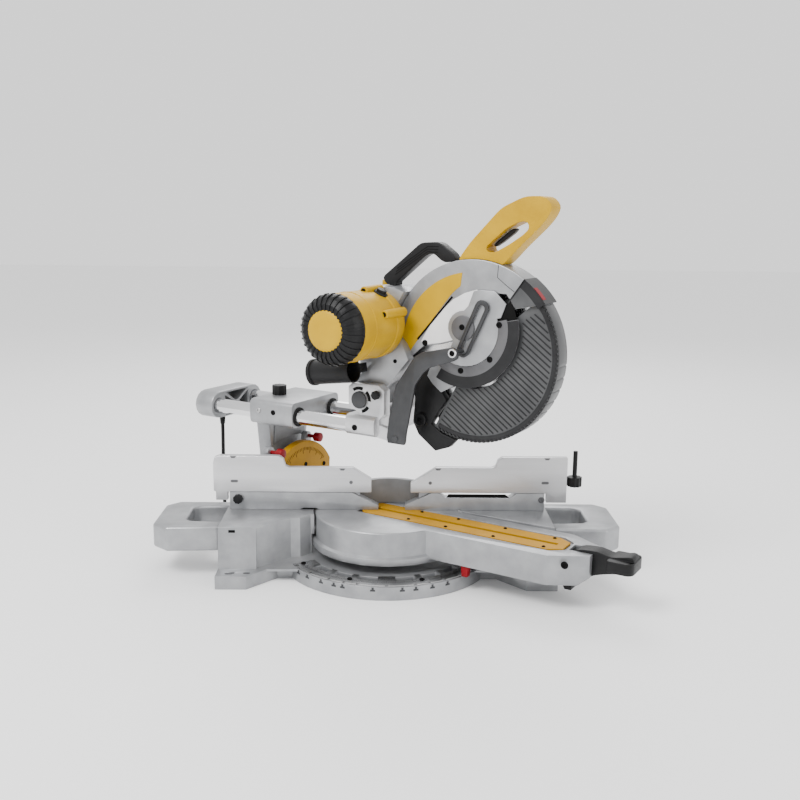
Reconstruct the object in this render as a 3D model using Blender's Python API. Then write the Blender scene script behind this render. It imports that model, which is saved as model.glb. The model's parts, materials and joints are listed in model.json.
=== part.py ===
"""Twelve inch sliding compound miter saw, belt driven, with the table turned to a right-hand miter.

Two frames are used.  The base frame has +X along the fence to the right, +Y to the back and +Z up,
with its origin on the floor under the miter pivot.  The saw frame is the base frame turned by the
miter angle about +Z, so its -Y points along the miter arm.  Lengths below are in millimetres and
are scaled to metres when a mesh is made.
"""

import math

import bmesh
import bpy
from mathutils import Matrix, Vector
from mathutils.geometry import tessellate_polygon

MM = 0.001
GAP = 0.3

MITER_ANGLE = 58.0
TABLE_TOP = 100.0
DISC_RADIUS = 136.0
APRON_RADIUS = 196.0
APRON_TOP = 24.0
FENCE_BASE_TOP = 133.6
FENCE_TOP = 204.0

BLADE_RADIUS = 152.4
ARBOR = (-184.0, 419.0)
MOTOR = (-5.0, 463.0)
CHOP_PIVOT = (20.0, 322.0)
LINK_PIVOT = (-60.0, 261.0)
LINK_END = (-171.0, 424.0)
HUB = (-168.0, 462.0)
RAIL_X = 55.0
RAIL_Z = 270.5
RAIL_RADIUS = 14.0
LEVER_PIVOT = (-396.0, 62.0)
DETENT_PIVOT = (-344.0, 39.0)
CORD_RADIUS = 3.75
CORD_EXIT = (-15.0, 394.0, 221.7)
COIL_CENTRE = (60.0, 350.0)
COIL_OUTER = 60.5
COIL_INNER = 26.2
COIL_HEIGHT = 16.0
PLUG_X = 116.3
PLUG_Y = 384.8
PLUG_Z = 11.65

SILVER = ((0.60, 0.61, 0.62), 0.42, 0.6)
BRIGHT = ((0.80, 0.80, 0.79), 0.30, 0.8)
STEEL = ((0.62, 0.62, 0.62), 0.22, 1.0)
CHROME = ((0.85, 0.85, 0.86), 0.08, 1.0)
YELLOW = ((0.93, 0.55, 0.02), 0.45, 0.0)
BLACK = ((0.025, 0.025, 0.027), 0.55, 0.0)
GREY = ((0.11, 0.11, 0.12), 0.50, 0.2)
SMOKE = ((0.09, 0.09, 0.10), 0.30, 0.0)
RED = ((0.30, 0.01, 0.03), 0.45, 0.0)
RUBBER = ((0.02, 0.02, 0.02), 0.80, 0.0)
COPPER = ((0.55, 0.25, 0.12), 0.40, 0.9)

for old in list(bpy.data.objects):
    bpy.data.objects.remove(old)

frames = {}
origins = {}


def frame(name, parent, at, turn=0.0):
    """An empty at a joint axis.  `at` is in the saw frame, or in the base frame for fixed parts."""
    empty = bpy.data.objects.new(name + "_axis", None)
    bpy.context.collection.objects.link(empty)
    base = Vector((0.0, 0.0, 0.0))
    if parent:
        empty.parent = frames[parent]
        base = origins[parent]
    empty.location = (Vector(at) - base) * MM
    empty.rotation_euler = (0.0, 0.0, math.radians(turn))
    empty.empty_display_size = 0.05
    frames[name] = empty
    origins[name] = Vector(at)


def circle(centre, radius, count=24, start=0.0, sweep=360.0):
    """Points around a circle, or along an arc when the sweep is under a full turn."""
    steps = count if sweep >= 360.0 else count - 1
    points = []
    for i in range(count):
        angle = math.radians(start + sweep * i / steps)
        points.append((centre[0] + radius * math.cos(angle), centre[1] + radius * math.sin(angle)))
    return points


def capsule(a, radius_a, b, radius_b, count=10):
    """The outline of a belt drawn round two circles, counter-clockwise."""
    heading = math.atan2(b[1] - a[1], b[0] - a[0])
    distance = math.hypot(b[0] - a[0], b[1] - a[1])
    lean = math.degrees(math.acos((radius_a - radius_b) / distance))
    heading = math.degrees(heading)
    far = circle(b, radius_b, count, heading - lean, 2.0 * lean)
    near = circle(a, radius_a, count, heading + lean, 360.0 - 2.0 * lean)
    return far + near


def rounded(corners, radius, count=4):
    """A polygon whose corners are turned into arcs of the given radius."""
    points = []
    total = len(corners)
    for i, corner in enumerate(corners):
        here = Vector(corner)
        before = Vector(corners[i - 1]) - here
        after = Vector(corners[(i + 1) % total]) - here
        reach = min(radius, before.length * 0.45, after.length * 0.45)
        start = here + before.normalized() * reach
        end = here + after.normalized() * reach
        for k in range(count + 1):
            t = k / count
            point = start * (1 - t) ** 2 + here * 2 * t * (1 - t) + end * t ** 2
            points.append((point.x, point.y))
    return points


def placed(axis, u, v, w):
    """A point from outline coordinates u, v and depth w along the named axis."""
    if axis == "X":
        return Vector((w, u, v))
    if axis == "Y":
        return Vector((u, w, v))
    return Vector((u, v, w))


def prism(outline, axis, low, high, holes=()):
    """A closed solid: an outline with holes, drawn out along an axis."""
    bm = bmesh.new()
    rings = [outline] + list(holes)
    flat = [[Vector((u, v, 0.0)) for u, v in ring] for ring in rings]
    triangles = tessellate_polygon(flat)
    points = [point for ring in rings for point in ring]
    bottom = [bm.verts.new(placed(axis, u, v, low)) for u, v in points]
    top = [bm.verts.new(placed(axis, u, v, high)) for u, v in points]
    for a, b, c in triangles:
        bm.faces.new((bottom[a], bottom[b], bottom[c]))
        bm.faces.new((top[c], top[b], top[a]))
    first = 0
    for ring in rings:
        for i in range(len(ring)):
            a = first + i
            b = first + (i + 1) % len(ring)
            bm.faces.new((bottom[a], bottom[b], top[b], top[a]))
        first += len(ring)
    bmesh.ops.recalc_face_normals(bm, faces=bm.faces)
    return bm


def block(x0, x1, y0, y1, z0, z1):
    """A box between two corners."""
    return prism([(x0, y0), (x1, y0), (x1, y1), (x0, y1)], "Z", z0, z1)


def turned(profile, axis, centre, count=24):
    """A turned solid: (radius, distance along the axis) points run round the axis."""
    bm = bmesh.new()
    rings = []
    for radius, along in profile:
        if radius == 0.0:
            rings.append([bm.verts.new(placed(axis, centre[0], centre[1], along))])
            continue
        ring = [bm.verts.new(placed(axis, u, v, along)) for u, v in circle(centre, radius, count)]
        rings.append(ring)
    closed = profile[0][0] > 0.0
    for k in range(len(rings) if closed else len(rings) - 1):
        here = rings[k]
        there = rings[(k + 1) % len(rings)]
        for i in range(count):
            j = (i + 1) % count
            if len(here) == 1:
                bm.faces.new((here[0], there[j], there[i]))
            elif len(there) == 1:
                bm.faces.new((here[i], here[j], there[0]))
            else:
                bm.faces.new((here[i], here[j], there[j], there[i]))
    bmesh.ops.recalc_face_normals(bm, faces=bm.faces)
    return bm


def knob(axis, centre, radius, low, high, ribs=10):
    """A short knurled knob."""
    points = []
    for i in range(ribs * 2):
        angle = math.pi * i / ribs
        reach = radius if i % 2 == 0 else radius * 0.88
        points.append((centre[0] + reach * math.cos(angle), centre[1] + reach * math.sin(angle)))
    return prism(points, axis, low, high)


def moved(bm, matrix):
    """The same solid after a rigid move."""
    bmesh.ops.transform(bm, matrix=matrix, verts=bm.verts)
    return bm


def guide(bm, name):
    """A hidden helper object for a Boolean."""
    mesh = bpy.data.meshes.new(name)
    bm.to_mesh(mesh)
    bm.free()
    helper = bpy.data.objects.new(name, mesh)
    helper.hide_render = True
    helper.display_type = "WIRE"
    bpy.context.collection.objects.link(helper)
    return helper


def finish(name, body, look, parent, joins=(), cuts=(), smooth=35.0):
    """Join and cut the solid, put its origin on its joint axis and give it its own material."""
    mesh = bpy.data.meshes.new(name)
    body.to_mesh(mesh)
    body.free()
    piece = bpy.data.objects.new(name, mesh)
    bpy.context.collection.objects.link(piece)
    helpers = []
    for operation, solids in (("UNION", joins), ("DIFFERENCE", cuts)):
        for bm in solids:
            helper = guide(bm, name + "_guide")
            helpers.append(helper)
            modifier = piece.modifiers.new(operation.lower(), "BOOLEAN")
            modifier.operation = operation
            modifier.solver = "EXACT"
            modifier.object = helper
    if helpers:
        bpy.context.view_layer.update()
        graph = bpy.context.evaluated_depsgraph_get()
        shaped = bpy.data.meshes.new_from_object(piece.evaluated_get(graph))
        piece.modifiers.clear()
        piece.data = shaped
        shaped.name = name
        for helper in helpers:
            bpy.data.objects.remove(helper)
    tidy = bmesh.new()
    tidy.from_mesh(piece.data)
    bmesh.ops.remove_doubles(tidy, verts=tidy.verts, dist=0.02)
    bmesh.ops.dissolve_limit(
        tidy, angle_limit=math.radians(0.2), verts=tidy.verts, edges=tidy.edges
    )
    bmesh.ops.triangulate(tidy, faces=tidy.faces)
    tidy.to_mesh(piece.data)
    tidy.free()
    piece.parent = frames[parent]
    piece.data.transform(Matrix.Scale(MM, 4) @ Matrix.Translation(-origins[parent]))
    colour, roughness, metallic = look
    material = bpy.data.materials.new(name)
    material.use_nodes = True
    shader = material.node_tree.nodes["Principled BSDF"]
    shader.inputs["Base Color"].default_value = (*colour, 1.0)
    shader.inputs["Roughness"].default_value = roughness
    shader.inputs["Metallic"].default_value = metallic
    piece.data.materials.clear()
    piece.data.materials.append(material)
    piece.data.shade_smooth()
    piece.data.set_sharp_from_angle(angle=math.radians(smooth))
    return piece


# ------------------------------------------------------------------------------ joint axes
frame("base", None, (0, 0, 0))
frame("left_fence", "base", (0, 0, 0))
frame("left_clamp", "base", (-282, 0, 121))
frame("right_fence", "base", (0, 0, 0))
frame("right_clamp", "right_fence", (355, 7, 158))
frame("table", None, (0, 0, 0), MITER_ANGLE)
frame("left_kerf", "table", (0, 0, 0))
frame("right_kerf", "table", (0, 0, 0))
frame("miter_lever", "table", (0, *LEVER_PIVOT))
frame("detent", "table", (0, *DETENT_PIVOT))
frame("miter_rod", "table", (0, 0, 0))
frame("left_stop", "table", (-80, 190, 200))
frame("right_stop", "table", (40, 190, 209))
frame("bevel", "table", (0, 0, TABLE_TOP))
frame("rail_knob", "bevel", (-12, 246, 300))
frame("bevel_lever", "bevel", (0, 285, TABLE_TOP))
frame("carriage", "bevel", (0, 0, RAIL_Z))
frame("lock_pin", "carriage", (-65, -20, 336))
frame("link", "carriage", (-65, *LINK_PIVOT))
frame("head", "carriage", (0, *CHOP_PIVOT))
frame("lower_guard", "head", (0, *ARBOR))
frame("blade", "head", (0, *ARBOR))
frame("rotor", "head", (0, *MOTOR))
frame("trigger", "head", (0, -213, 604))
frame("arbor_button", "head", (20, 20, 526))


# ------------------------------------------------------------------------------ base casting
def polar(radius, angle):
    """A point at a radius and an angle in degrees round the miter pivot."""
    return (radius * math.cos(math.radians(angle)), radius * math.sin(math.radians(angle)))


def sector(inner, outer, start, sweep, centre=(0.0, 0.0), count=5):
    """The outline of a ring sector."""
    rim = circle(centre, outer, count, start, sweep)
    return rim + circle(centre, inner, count, start + sweep, -sweep)


def arc_points(radius, start, sweep, count):
    """Points along an arc round the miter pivot."""
    return circle((0.0, 0.0), radius, count, start, sweep)


WINDOW_ANGLES = (-136.0, -119.0, -102.0, -78.0, -61.0, -44.0)


def windows(low, high):
    """Cutters for the windows through the apron."""
    return [prism(sector(150, 169, a - 6.5, 13.0), "Z", low, high) for a in WINDOW_ANGLES]


slab = [(-303, -150), (-248, -150), (-199, -96)]
slab += arc_points(APRON_RADIUS, -150.7, 121.4, 25)
slab += [(199, -96), (248, -150), (303, -150), (303, 24), (190, 24), (190, 112)]
slab += [(-190, 112), (-190, 24), (-303, 24)]


def wing(side):
    """One side table: front face leaning out towards the foot."""
    profile = [(-114, 20), (-106, TABLE_TOP), (24, TABLE_TOP), (24, 20)]
    near, far = sorted((side * 303.0, side * 122.0))
    return prism(profile, "X", near, far)


def wing_front_cut(side):
    """The diagonal in front of each side table, where the arm swings: 50 degrees left, 60 right."""
    points = [(-234, -130), (-234, -106), (-178, -53.5), (-161, -50), (-143, -30), (-110, -30), (-110, -130)]
    if side > 0:
        points = [(330, -115), (154, -13), (125, 1), (100, 1), (100, -150), (330, -150)]
    return prism(points, "Z", APRON_TOP, 101)


def wing_pocket(side):
    """The hollow under a side table."""
    near, far = sorted((side * 294.0, side * 170.0))
    return block(near, far, -46, 15, -1, 91)


pivot_well = [
    turned([(0, APRON_TOP), (145, APRON_TOP), (145, 62), (139.5, 62), (139.5, 101), (0, 101)], "Z",
           (0, 0), 64),
    turned([(36, -1), (136, -1), (136, 14), (36, 14)], "Z", (0, 0), 32),
]
finish(
    "base_casting", prism(slab, "Z", 0, APRON_TOP), SILVER, "base",
    joins=[wing(-1), wing(1)],
    cuts=[wing_front_cut(-1), wing_front_cut(1), wing_pocket(-1), wing_pocket(1)]
    + pivot_well + windows(-1, 30)
    + [prism(circle((side * 275, -132), 5.0, 12), "Z", -1, 25) for side in (-1, 1)],
)


def side_handle(side):
    """A C-shaped carrying grip on the outside of a side table."""
    points = [(303.3, -92), (398, -98), (427, -72), (427, 36), (404, 60), (303.3, 60)]
    points += [(303.3, 32), (360, 30), (371, 20), (371, -46), (360, -56), (303.3, -60)]
    outline = [(side * x, y) for x, y in points]
    return prism(outline, "Z", 50, 96)


finish("left_side_handle", side_handle(-1), SILVER, "base")
finish("right_side_handle", side_handle(1), SILVER, "base")

finish(
    "miter_scale_plate",
    prism(sector(151, 193, -152, 124, count=29), "Z", APRON_TOP + GAP, APRON_TOP + 2.6),
    STEEL, "base",
    cuts=windows(20, 30)
    + [prism(sector(188, 199, a - 0.9, 1.8, count=2), "Z", 20, 30)
       for a in (-148, -135, -121.6, -112.5, -105, -90, -75, -67.5, -58.4, -45, -32)],
)

left_base = [(-298, 100.3), (-17, 100.3), (-17, 108), (-67, FENCE_BASE_TOP), (-298, FENCE_BASE_TOP)]
right_base = [(34, 100.3), (298, 100.3), (298, FENCE_BASE_TOP), (245, FENCE_BASE_TOP), (232, 124)]
right_base += [(110, 124), (98, FENCE_BASE_TOP), (84, FENCE_BASE_TOP), (34, 110)]
bow = circle((5, -30), 84, 13, 38, 104) + circle((5, -30), 76, 13, 142, -104)
finish(
    "fixed_fence", prism(left_base, "Y", 0, 20), BRIGHT, "base",
    joins=[prism(right_base, "Y", 0, 20), prism(bow, "Z", 100.6, 148),
           block(-75, -52, 8, 24, 100.3, 133.6), block(60, 86, 8, 24, 100.3, 133.6)],
)

left_face = [(-324, 117.5), (-301.5, 117.5), (-301.5, 134), (-30, 134), (-30, 160), (-65, 182), (-185, 182)]
left_face += [(-192, 185), (-196, 198), (-204, FENCE_TOP), (-316, FENCE_TOP), (-325, 201), (-328, 190)]
left_face += [(-328, 136), (-324, 134)]
finish("left_sliding_fence", prism(left_face, "Y", 0, 14), BRIGHT, "left_fence")
right_face = [(340, 116), (340, 204), (217, FENCE_TOP), (208, 198), (204, 186), (197, 183), (91.5, 183)]
right_face += [(44, 152), (44, 134), (301.5, 134), (301.5, 116)]
finish("right_sliding_fence", prism(right_face, "Y", 0, 14), BRIGHT, "right_fence")
finish(
    "left_fence_clamp_knob", knob("Y", (-282, 121), 9.5, -7.5, -GAP, 9), BLACK, "left_clamp",
)
finish(
    "right_fence_clamp_knob", knob("Z", (355, 7), 14.5, 148, 166, 11), BLACK, "right_clamp",
    joins=[turned([(0, 160), (4.5, 160), (4.5, 216), (0, 216)], "Z", (355, 7), 12)],
)

# ------------------------------------------------------------------------------ turntable
arm = [(-62, -90), (-62, -352), (-36, -398), (-28, -414), (28, -414), (36, -398), (62, -352), (62, -90)]
neck = [(-47, 100), (47, 100), (47, 214), (40, 231), (-40, 231), (-47, 214)]
trunnion = circle((0, TABLE_TOP), 96, 17, 0, 180) + [(-48, 99), (-48, 60), (48, 60), (48, 99)]
kerf_seat = [(-37, 46), (37, 46), (37, -345), (20, -368), (-20, -368), (-37, -345)]
finish(
    "turntable",
    turned([(0, APRON_TOP + GAP), (34, APRON_TOP + GAP), (34, 41), (142, 41), (142, 53),
            (DISC_RADIUS, 56), (DISC_RADIUS, 98), (134, TABLE_TOP), (0, TABLE_TOP)], "Z", (0, 0), 64),
    SILVER, "table",
    joins=[prism(arm, "Z", 48, TABLE_TOP), prism(neck, "Z", 48, 98.5),
           prism(trunnion, "Y", 214.5, 231)]
    + [prism(capsule((-56, 164), 14, (-80, 200), 10, 6), "Y", 214.5, 226),
       prism(capsule((36, 172), 14, (40, 209), 9, 6), "Y", 214.5, 226)],
    cuts=[prism(kerf_seat, "Z", 96.4, 101), block(-20, 20, -352, 26, 62, 97),
          block(-15, 15, -420, -372, 40, 101), block(-15, 15, -380, -351, 40, 95),
          prism([(-420, 47), (-420, 66), (-396, 47)], "X", -70, 70),
          prism(circle((0, TABLE_TOP), 9.4, 16), "Y", 205, 240),
          block(-26, 26, -372, -150, 46, 56)],
)


def kerf_plate(side):
    """Half of the throat plate beside the blade slot."""
    inner = side * 4.5
    outer = side * 32.6
    points = [(inner, 42), (side * 22, 42), (outer, 32), (outer, -338), (side * 18, -362)]
    points += [(side * 0.2, -362), (side * 0.2, -346), (inner, -346)]
    return prism(points, "Z", 96.8, 99.9)


finish("left_kerf_plate", kerf_plate(-1), YELLOW, "left_kerf")
finish("right_kerf_plate", kerf_plate(1), YELLOW, "right_kerf")

drum = [(-88, TABLE_TOP + GAP), (88, TABLE_TOP + GAP)] + circle((0, TABLE_TOP), 107, 21, 30.7, 118.6)
finish("bevel_scale", prism(drum, "Y", 198, 214.2), YELLOW, "table")
finish(
    "miter_pointer",
    prism([(-192, 27.6), (-203, 27.6), (-205, 47.6), (-190, 47.6)], "X", -59, -48), RED, "table",
)

lever = [(-382, 50), (-388, 44), (-398, 46), (-414, 62), (-440, 70), (-484, 78), (-487, 94), (-482, 108)]
lever += [(-446, 100), (-420, 106), (-392, 104), (-378, 98), (-376, 70)]
paddle = [(-30, -442), (30, -442), (30, -480), (22, -487), (-22, -487), (-30, -480)]
finish(
    "miter_lock_lever", prism(rounded(lever, 8, 2), "X", -14.2, 14.2), BLACK, "miter_lever",
    joins=[moved(prism(rounded(paddle, 6, 2), "Z", 76, 96), Matrix.Translation((0, 0, 3)))],
)
finish(
    "detent_lever",
    prism([(-378, 27), (-366, 27), (-362, 34), (-338, 34), (-338, 44), (-350, 44), (-356, 39), (-378, 37)],
          "X", -13, 13),
    BLACK, "detent",
)
finish("miter_lock_rod", prism(circle((0, 51), 4.0, 10), "Y", -350, -152), STEEL, "miter_rod")


def bevel_stop(name, centre):
    """A dark red pull knob whose stem reaches back to the trunnion's lug."""
    body = turned([(0, 184), (9.5, 184), (9.5, 197.6), (0, 197.6)], "Y", centre, 12)
    stem = turned([(0, 190), (4, 190), (4, 214), (0, 214)], "Y", centre, 10)
    finish(name + "_bevel_stop", body, RED, name + "_stop", joins=[stem])


bevel_stop("left", (-80, 200))
bevel_stop("right", (40, 209))

# ------------------------------------------------------------------------------ bevel support
rail_holes = [circle((side * RAIL_X, RAIL_Z), RAIL_RADIUS + GAP, 16) for side in (-1, 1)]
housing = rounded([(-77, 250), (77, 250), (77, 299), (-77, 299)], 12, 3)
neck_lower = [(-62, 252), (-50, 150), (-44, 100), (-30, 72), (30, 72), (44, 100), (50, 150), (62, 252)]
finish(
    "support_housing", prism(housing, "Y", 166, 268, rail_holes), SILVER, "bevel",
    joins=[prism(neck_lower, "Y", 232.5, 264)],
    cuts=[prism(circle((0, TABLE_TOP), 9.4, 16), "Y", 230, 280)],
)
finish(
    "bevel_pivot_bolt",
    turned([(0, 214.6), (9.0, 214.6), (9.0, 264.3), (15, 264.3), (15, 276), (0, 276)], "Y",
           (0, TABLE_TOP), 16),
    STEEL, "bevel",
)
finish("rail_lock_knob", knob("Z", (-12, 246), 15, 299.4, 318, 10), BLACK, "rail_knob")
lever_bar = capsule((0, 100), 13, (-72, 150), 8, 7)
finish("bevel_lock_lever", prism(lever_bar, "Y", 277, 288), BLACK, "bevel_lever")

# ------------------------------------------------------------------------------ carriage
for label, side in (("near", -1), ("far", 1)):
    bar = prism(circle((side * RAIL_X, RAIL_Z), RAIL_RADIUS, 16), "Y", 2, 398)
    finish(label + "_rail", bar, CHROME, "carriage")

stadium = circle((50, RAIL_Z), 27, 9, -90, 180) + circle((-50, RAIL_Z), 27, 9, 90, 180)
tight_holes = [circle((side * RAIL_X, RAIL_Z), RAIL_RADIUS + GAP, 16) for side in (-1, 1)]
pockets = [
    [(-30, 249), (30, 249), (4, 268), (-4, 268)],
    [(-30, 292), (-4, 273), (4, 273), (30, 292)],
    [(-35, 253), (-8, 270.5), (-35, 288)],
    [(35, 253), (35, 288), (8, 270.5)],
]
finish(
    "rear_cap", prism(stadium, "Y", 366, 410), SILVER, "carriage",
    cuts=[prism(hole, "Y", 360, 398.3) for hole in tight_holes]
    + [prism(pocket, "Y", 360, 400) for pocket in pockets],
)

ear_arc = [(20, 300), (44, 306), (44, 345), (36, 352), (-20, 352), (-32, 343), (-32, 300), (-22, 290)]
shaft_hole = circle(CHOP_PIVOT, 10.4, 16)
bracket_base = rounded([(-77, 257), (77, 257), (77, 295), (-77, 295)], 14, 3)
ears = [prism(ear_arc + [(-22, 280), (20, 280)], "X", low, high, [shaft_hole])
        for low, high in ((-65, -45.2), (45.2, 65))]
finish(
    "pivot_bracket", prism(bracket_base, "Y", -18, 44), BRIGHT, "carriage",
    joins=ears + [prism(capsule(LINK_PIVOT, 10, (-12, 270), 12, 8), "X", -65, -53)],
    cuts=[prism(hole, "Y", 1.5, 50) for hole in tight_holes],
)
finish(
    "chop_shaft",
    turned([(0, -69.5), (16, -69.5), (16, -65.4), (10, -65.4), (10, 65.4), (14, 65.4), (14, 70), (0, 70)],
           "X", CHOP_PIVOT, 16),
    GREY, "carriage",
)
finish(
    "cord_strain_relief",
    turned([(0, 222), (5, 222), (6.5, 242.6), (0, 242.6)], "Z", (CORD_EXIT[0], CORD_EXIT[1]), 12),
    RUBBER, "carriage",
)


def smooth_route(points, spacing):
    """Even steps along a Catmull-Rom curve through the route's points."""
    ends = [points[0] * 2 - points[1]] + points + [points[-1] * 2 - points[-2]]
    fine = []
    for i in range(1, len(ends) - 2):
        a, b, c, d = ends[i - 1:i + 3]
        for k in range(24):
            t = k / 24
            fine.append(0.5 * (2 * b + (c - a) * t + (2 * a - 5 * b + 4 * c - d) * t ** 2
                               + (3 * b - a - 3 * c + d) * t ** 3))
    fine.append(points[-1])
    even = [fine[0]]
    walked = 0.0
    for before, after in zip(fine, fine[1:]):
        walked += (after - before).length
        if walked >= spacing:
            even.append(after)
            walked = 0.0
    if (even[-1] - fine[-1]).length < spacing * 0.5:
        even.pop()
    even.append(fine[-1])
    return even


CORD_ROUTE = [
    (-15.0, 394.0, 221.7), (-15.0, 394.0, 205.0), (-15.1, 394.1, 188.0), (-15.2, 394.3, 170.0),
    (-15.3, 394.4, 152.0), (-15.3, 394.5, 134.0), (-15.3, 394.5, 116.0), (-15.2, 394.5, 98.0),
    (-15.1, 394.4, 80.0), (-15.0, 394.3, 62.0), (-15.0, 394.1, 46.0), (-14.9, 393.9, 36.0),
    (-14.1, 391.7, 23.8), (-11.5, 385.3, 13.4), (-7.6, 375.7, 6.6), (-2.5, 363.1, 4.05),
]
route = smooth_route([Vector(p) for p in CORD_ROUTE], CORD_RADIUS * 5)
curve = bpy.data.curves.new("power_cord", "CURVE")
curve.dimensions = "3D"
curve.bevel_depth = CORD_RADIUS * MM
curve.bevel_resolution = 2
curve.use_fill_caps = True
spline = curve.splines.new("POLY")
spline.points.add(len(route) - 1)
for slot, point in zip(spline.points, route):
    slot.co = (*((point - origins["carriage"]) * MM), 1.0)
cord = bpy.data.objects.new("power_cord", curve)
bpy.context.collection.objects.link(cord)
cord.parent = frames["carriage"]
rubber = bpy.data.materials.new("power_cord")
rubber.use_nodes = True
rubber.node_tree.nodes["Principled BSDF"].inputs["Base Color"].default_value = (0.02, 0.02, 0.02, 1.0)
rubber.node_tree.nodes["Principled BSDF"].inputs["Roughness"].default_value = 0.7
curve.materials.append(rubber)

finish(
    "cord_coil",
    turned([(COIL_INNER, GAP), (COIL_OUTER, GAP), (COIL_OUTER, COIL_HEIGHT), (COIL_INNER, COIL_HEIGHT)],
           "Z", COIL_CENTRE, 32),
    RUBBER, "carriage",
)
plug_shape = [(-6, 0), (6, 0), (9, 8), (16, 18), (16, 38), (-16, 38), (-16, 18), (-9, 8)]
finish(
    "cord_plug",
    prism([(PLUG_X + x, PLUG_Y + y) for x, y in plug_shape], "Z", PLUG_Z - 11, PLUG_Z + 11),
    RUBBER, "carriage",
    joins=[block(PLUG_X + side - 0.8, PLUG_X + side + 0.8, PLUG_Y + 36, PLUG_Y + 55, PLUG_Z - 3, PLUG_Z + 3.3)
           for side in (-6.4, 6.4)],
)
finish(
    "head_lock_pin", knob("X", (-20, 336), 8.5, -78, -70, 8), BLACK, "lock_pin",
    joins=[turned([(0, -72), (3.5, -72), (3.5, -65.4), (0, -65.4)], "X", (-20, 336), 10)],
)

# ------------------------------------------------------------------------------ saw head
lower_arm = [(20, 298.5), (36, 303), (46, 322), (50, 347), (30, 366), (11, 384), (-41, 441), (-56, 426)]
lower_arm += [(-69, 400), (-28, 351), (-6, 330), (2, 306)]
centre_arm = [(20, 298.5), (36, 303), (46, 322), (50, 347), (44, 372), (48, 396), (-21, 396), (-21, 352)]
centre_arm += [(-6, 330), (2, 306)]
upper_arm = [(16, 390), (40, 398), (56, 440), (56, 488), (38, 514), (10, 526), (-34, 526), (-58, 519)]
upper_arm += [(-40, 490), (-20, 440), (-21, 390)]
belt_outline = capsule(ARBOR, 40, MOTOR, 45, 12)
belt_hollow = capsule(ARBOR, 31, MOTOR, 26, 12)
finish(
    "arm_casting", prism(centre_arm, "X", -24.4, 44.6), SILVER, "head",
    joins=[prism(lower_arm, "X", -44.6, -24.4 + 0.2), prism(upper_arm, "X", -44.6, 40),
           prism(belt_outline, "X", 24.7, 58),
           prism(circle(ARBOR, 39.3, 24), "X", 12.5, 26)],
    cuts=[prism(circle(ARBOR, 161.1, 64), "X", -24.5, 24.4, [circle(ARBOR, 44, 24)]),
          prism(belt_hollow, "X", 30, 59),
          prism(circle(ARBOR, 10.4, 16), "X", 0, 35),
          prism(circle(MOTOR, 7.4, 14), "X", -60, 35),
          prism(circle(CHOP_PIVOT, 10.4, 16), "X", -60, 60),
          prism(circle((20, 20), 6.5, 12), "Z", 511, 530)],
)
finish("belt_cover", prism(belt_outline, "X", 58.4, 61.4), SILVER, "head")
guard_outline = circle(ARBOR, 160.5, 33, -10, 155)
guard_outline += [(-262, 500), (-245, 524), (-200, 524), (-172, 470), (-150, 438), (-122, 430)]
guard_outline += [(-88, 424), (-62, 402)]
finish(
    "upper_guard", prism(guard_outline, "X", -24.2, 24.2), SILVER, "head",
    cuts=[prism(circle(ARBOR, 157.7, 64), "X", -21.2, 21.2),
          prism(circle(ARBOR, 49, 24), "X", 0, 30)],
)
hub_outline = [(-199, 529), (-226, 528), (-247, 508), (-238, 484)]
hub_outline += circle(HUB, 66, 16, 162, 138) + circle(HUB, 30, 10, -50, 140) + [(-176, 500), (-186, 526)]
finish("hub_plate", prism(hub_outline, "X", -27.6, -24.6), SILVER, "head")
finish(
    "guard_ring", prism(sector(66.6, 83, 166, 149, HUB, 18), "X", -27.6, -24.8), GREY, "head",
    joins=[prism(sector(82, 104, 168, 132, HUB, 16), "X", -27.6, -25.2)],
)
finish(
    "arbor_cover", prism(circle(HUB, 22, 24), "X", -30.6, -27.9), STEEL, "head",
)

motor_shell = [(60, -174), (60, -52), (57, -45), (12, -45), (12, -49.5), (55, -49.5), (55, -174)]
finish("motor_housing", turned(motor_shell, "X", MOTOR, 32), YELLOW, "head")
cap_shell = [(0, -205), (44, -205), (54, -198), (60, -186), (60, -174.4), (55, -174.4), (54, -186)]
cap_shell += [(44, -198), (0, -200)]
finish("motor_end_cap", turned(cap_shell, "X", MOTOR, 32), BLACK, "head")
finish(
    "motor_stator",
    turned([(39, -150), (54.6, -150), (54.6, -76), (39, -76)], "X", MOTOR, 24), COPPER, "head",
)
finish(
    "arbor_lock_button", turned([(0, 517), (6, 517), (6, 533), (0, 533)], "Z", (20, 20), 12),
    YELLOW, "arbor_button",
)

grip = [(-2, 526.6), (8, 540), (-72, 604), (-108, 606), (-137, 586), (-143, 574), (-121, 571), (-113, 574)]
grip += [(-96, 587), (-82, 582), (-22, 532), (-24, 526.6)]
finish("carry_handle", prism(rounded(grip, 7, 2), "X", -11, 11), BLACK, "head",
       cuts=[prism(circle(ARBOR, 160.9, 48), "X", -30, 30)])
handle = [(-149, 575), (-172, 606), (-229, 665), (-271, 684), (-306, 684), (-320, 668), (-312, 650)]
handle += [(-298, 634), (-262, 600), (-234, 570), (-190, 560)]
handle_hole = [(-206, 592), (-220, 592), (-246, 606), (-270, 622), (-280, 632), (-278, 642), (-266, 644)]
handle_hole += [(-240, 632), (-214, 610), (-203, 600)]
finish(
    "main_handle",
    prism(rounded(handle, 12, 3), "X", -20, 20, [rounded(handle_hole, 6, 2)[::-1]]), YELLOW, "head",
    cuts=[prism(circle(ARBOR, 160.9, 48), "X", -30, 30)],
)
trigger = [(-211, 603.5), (-214, 600.5), (-226, 608), (-246, 623), (-252, 629.5), (-249, 632), (-240, 628.5)]
trigger += [(-216, 608.5)]
finish("trigger", prism(trigger, "X", -7, 7), BLACK, "trigger")

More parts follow.
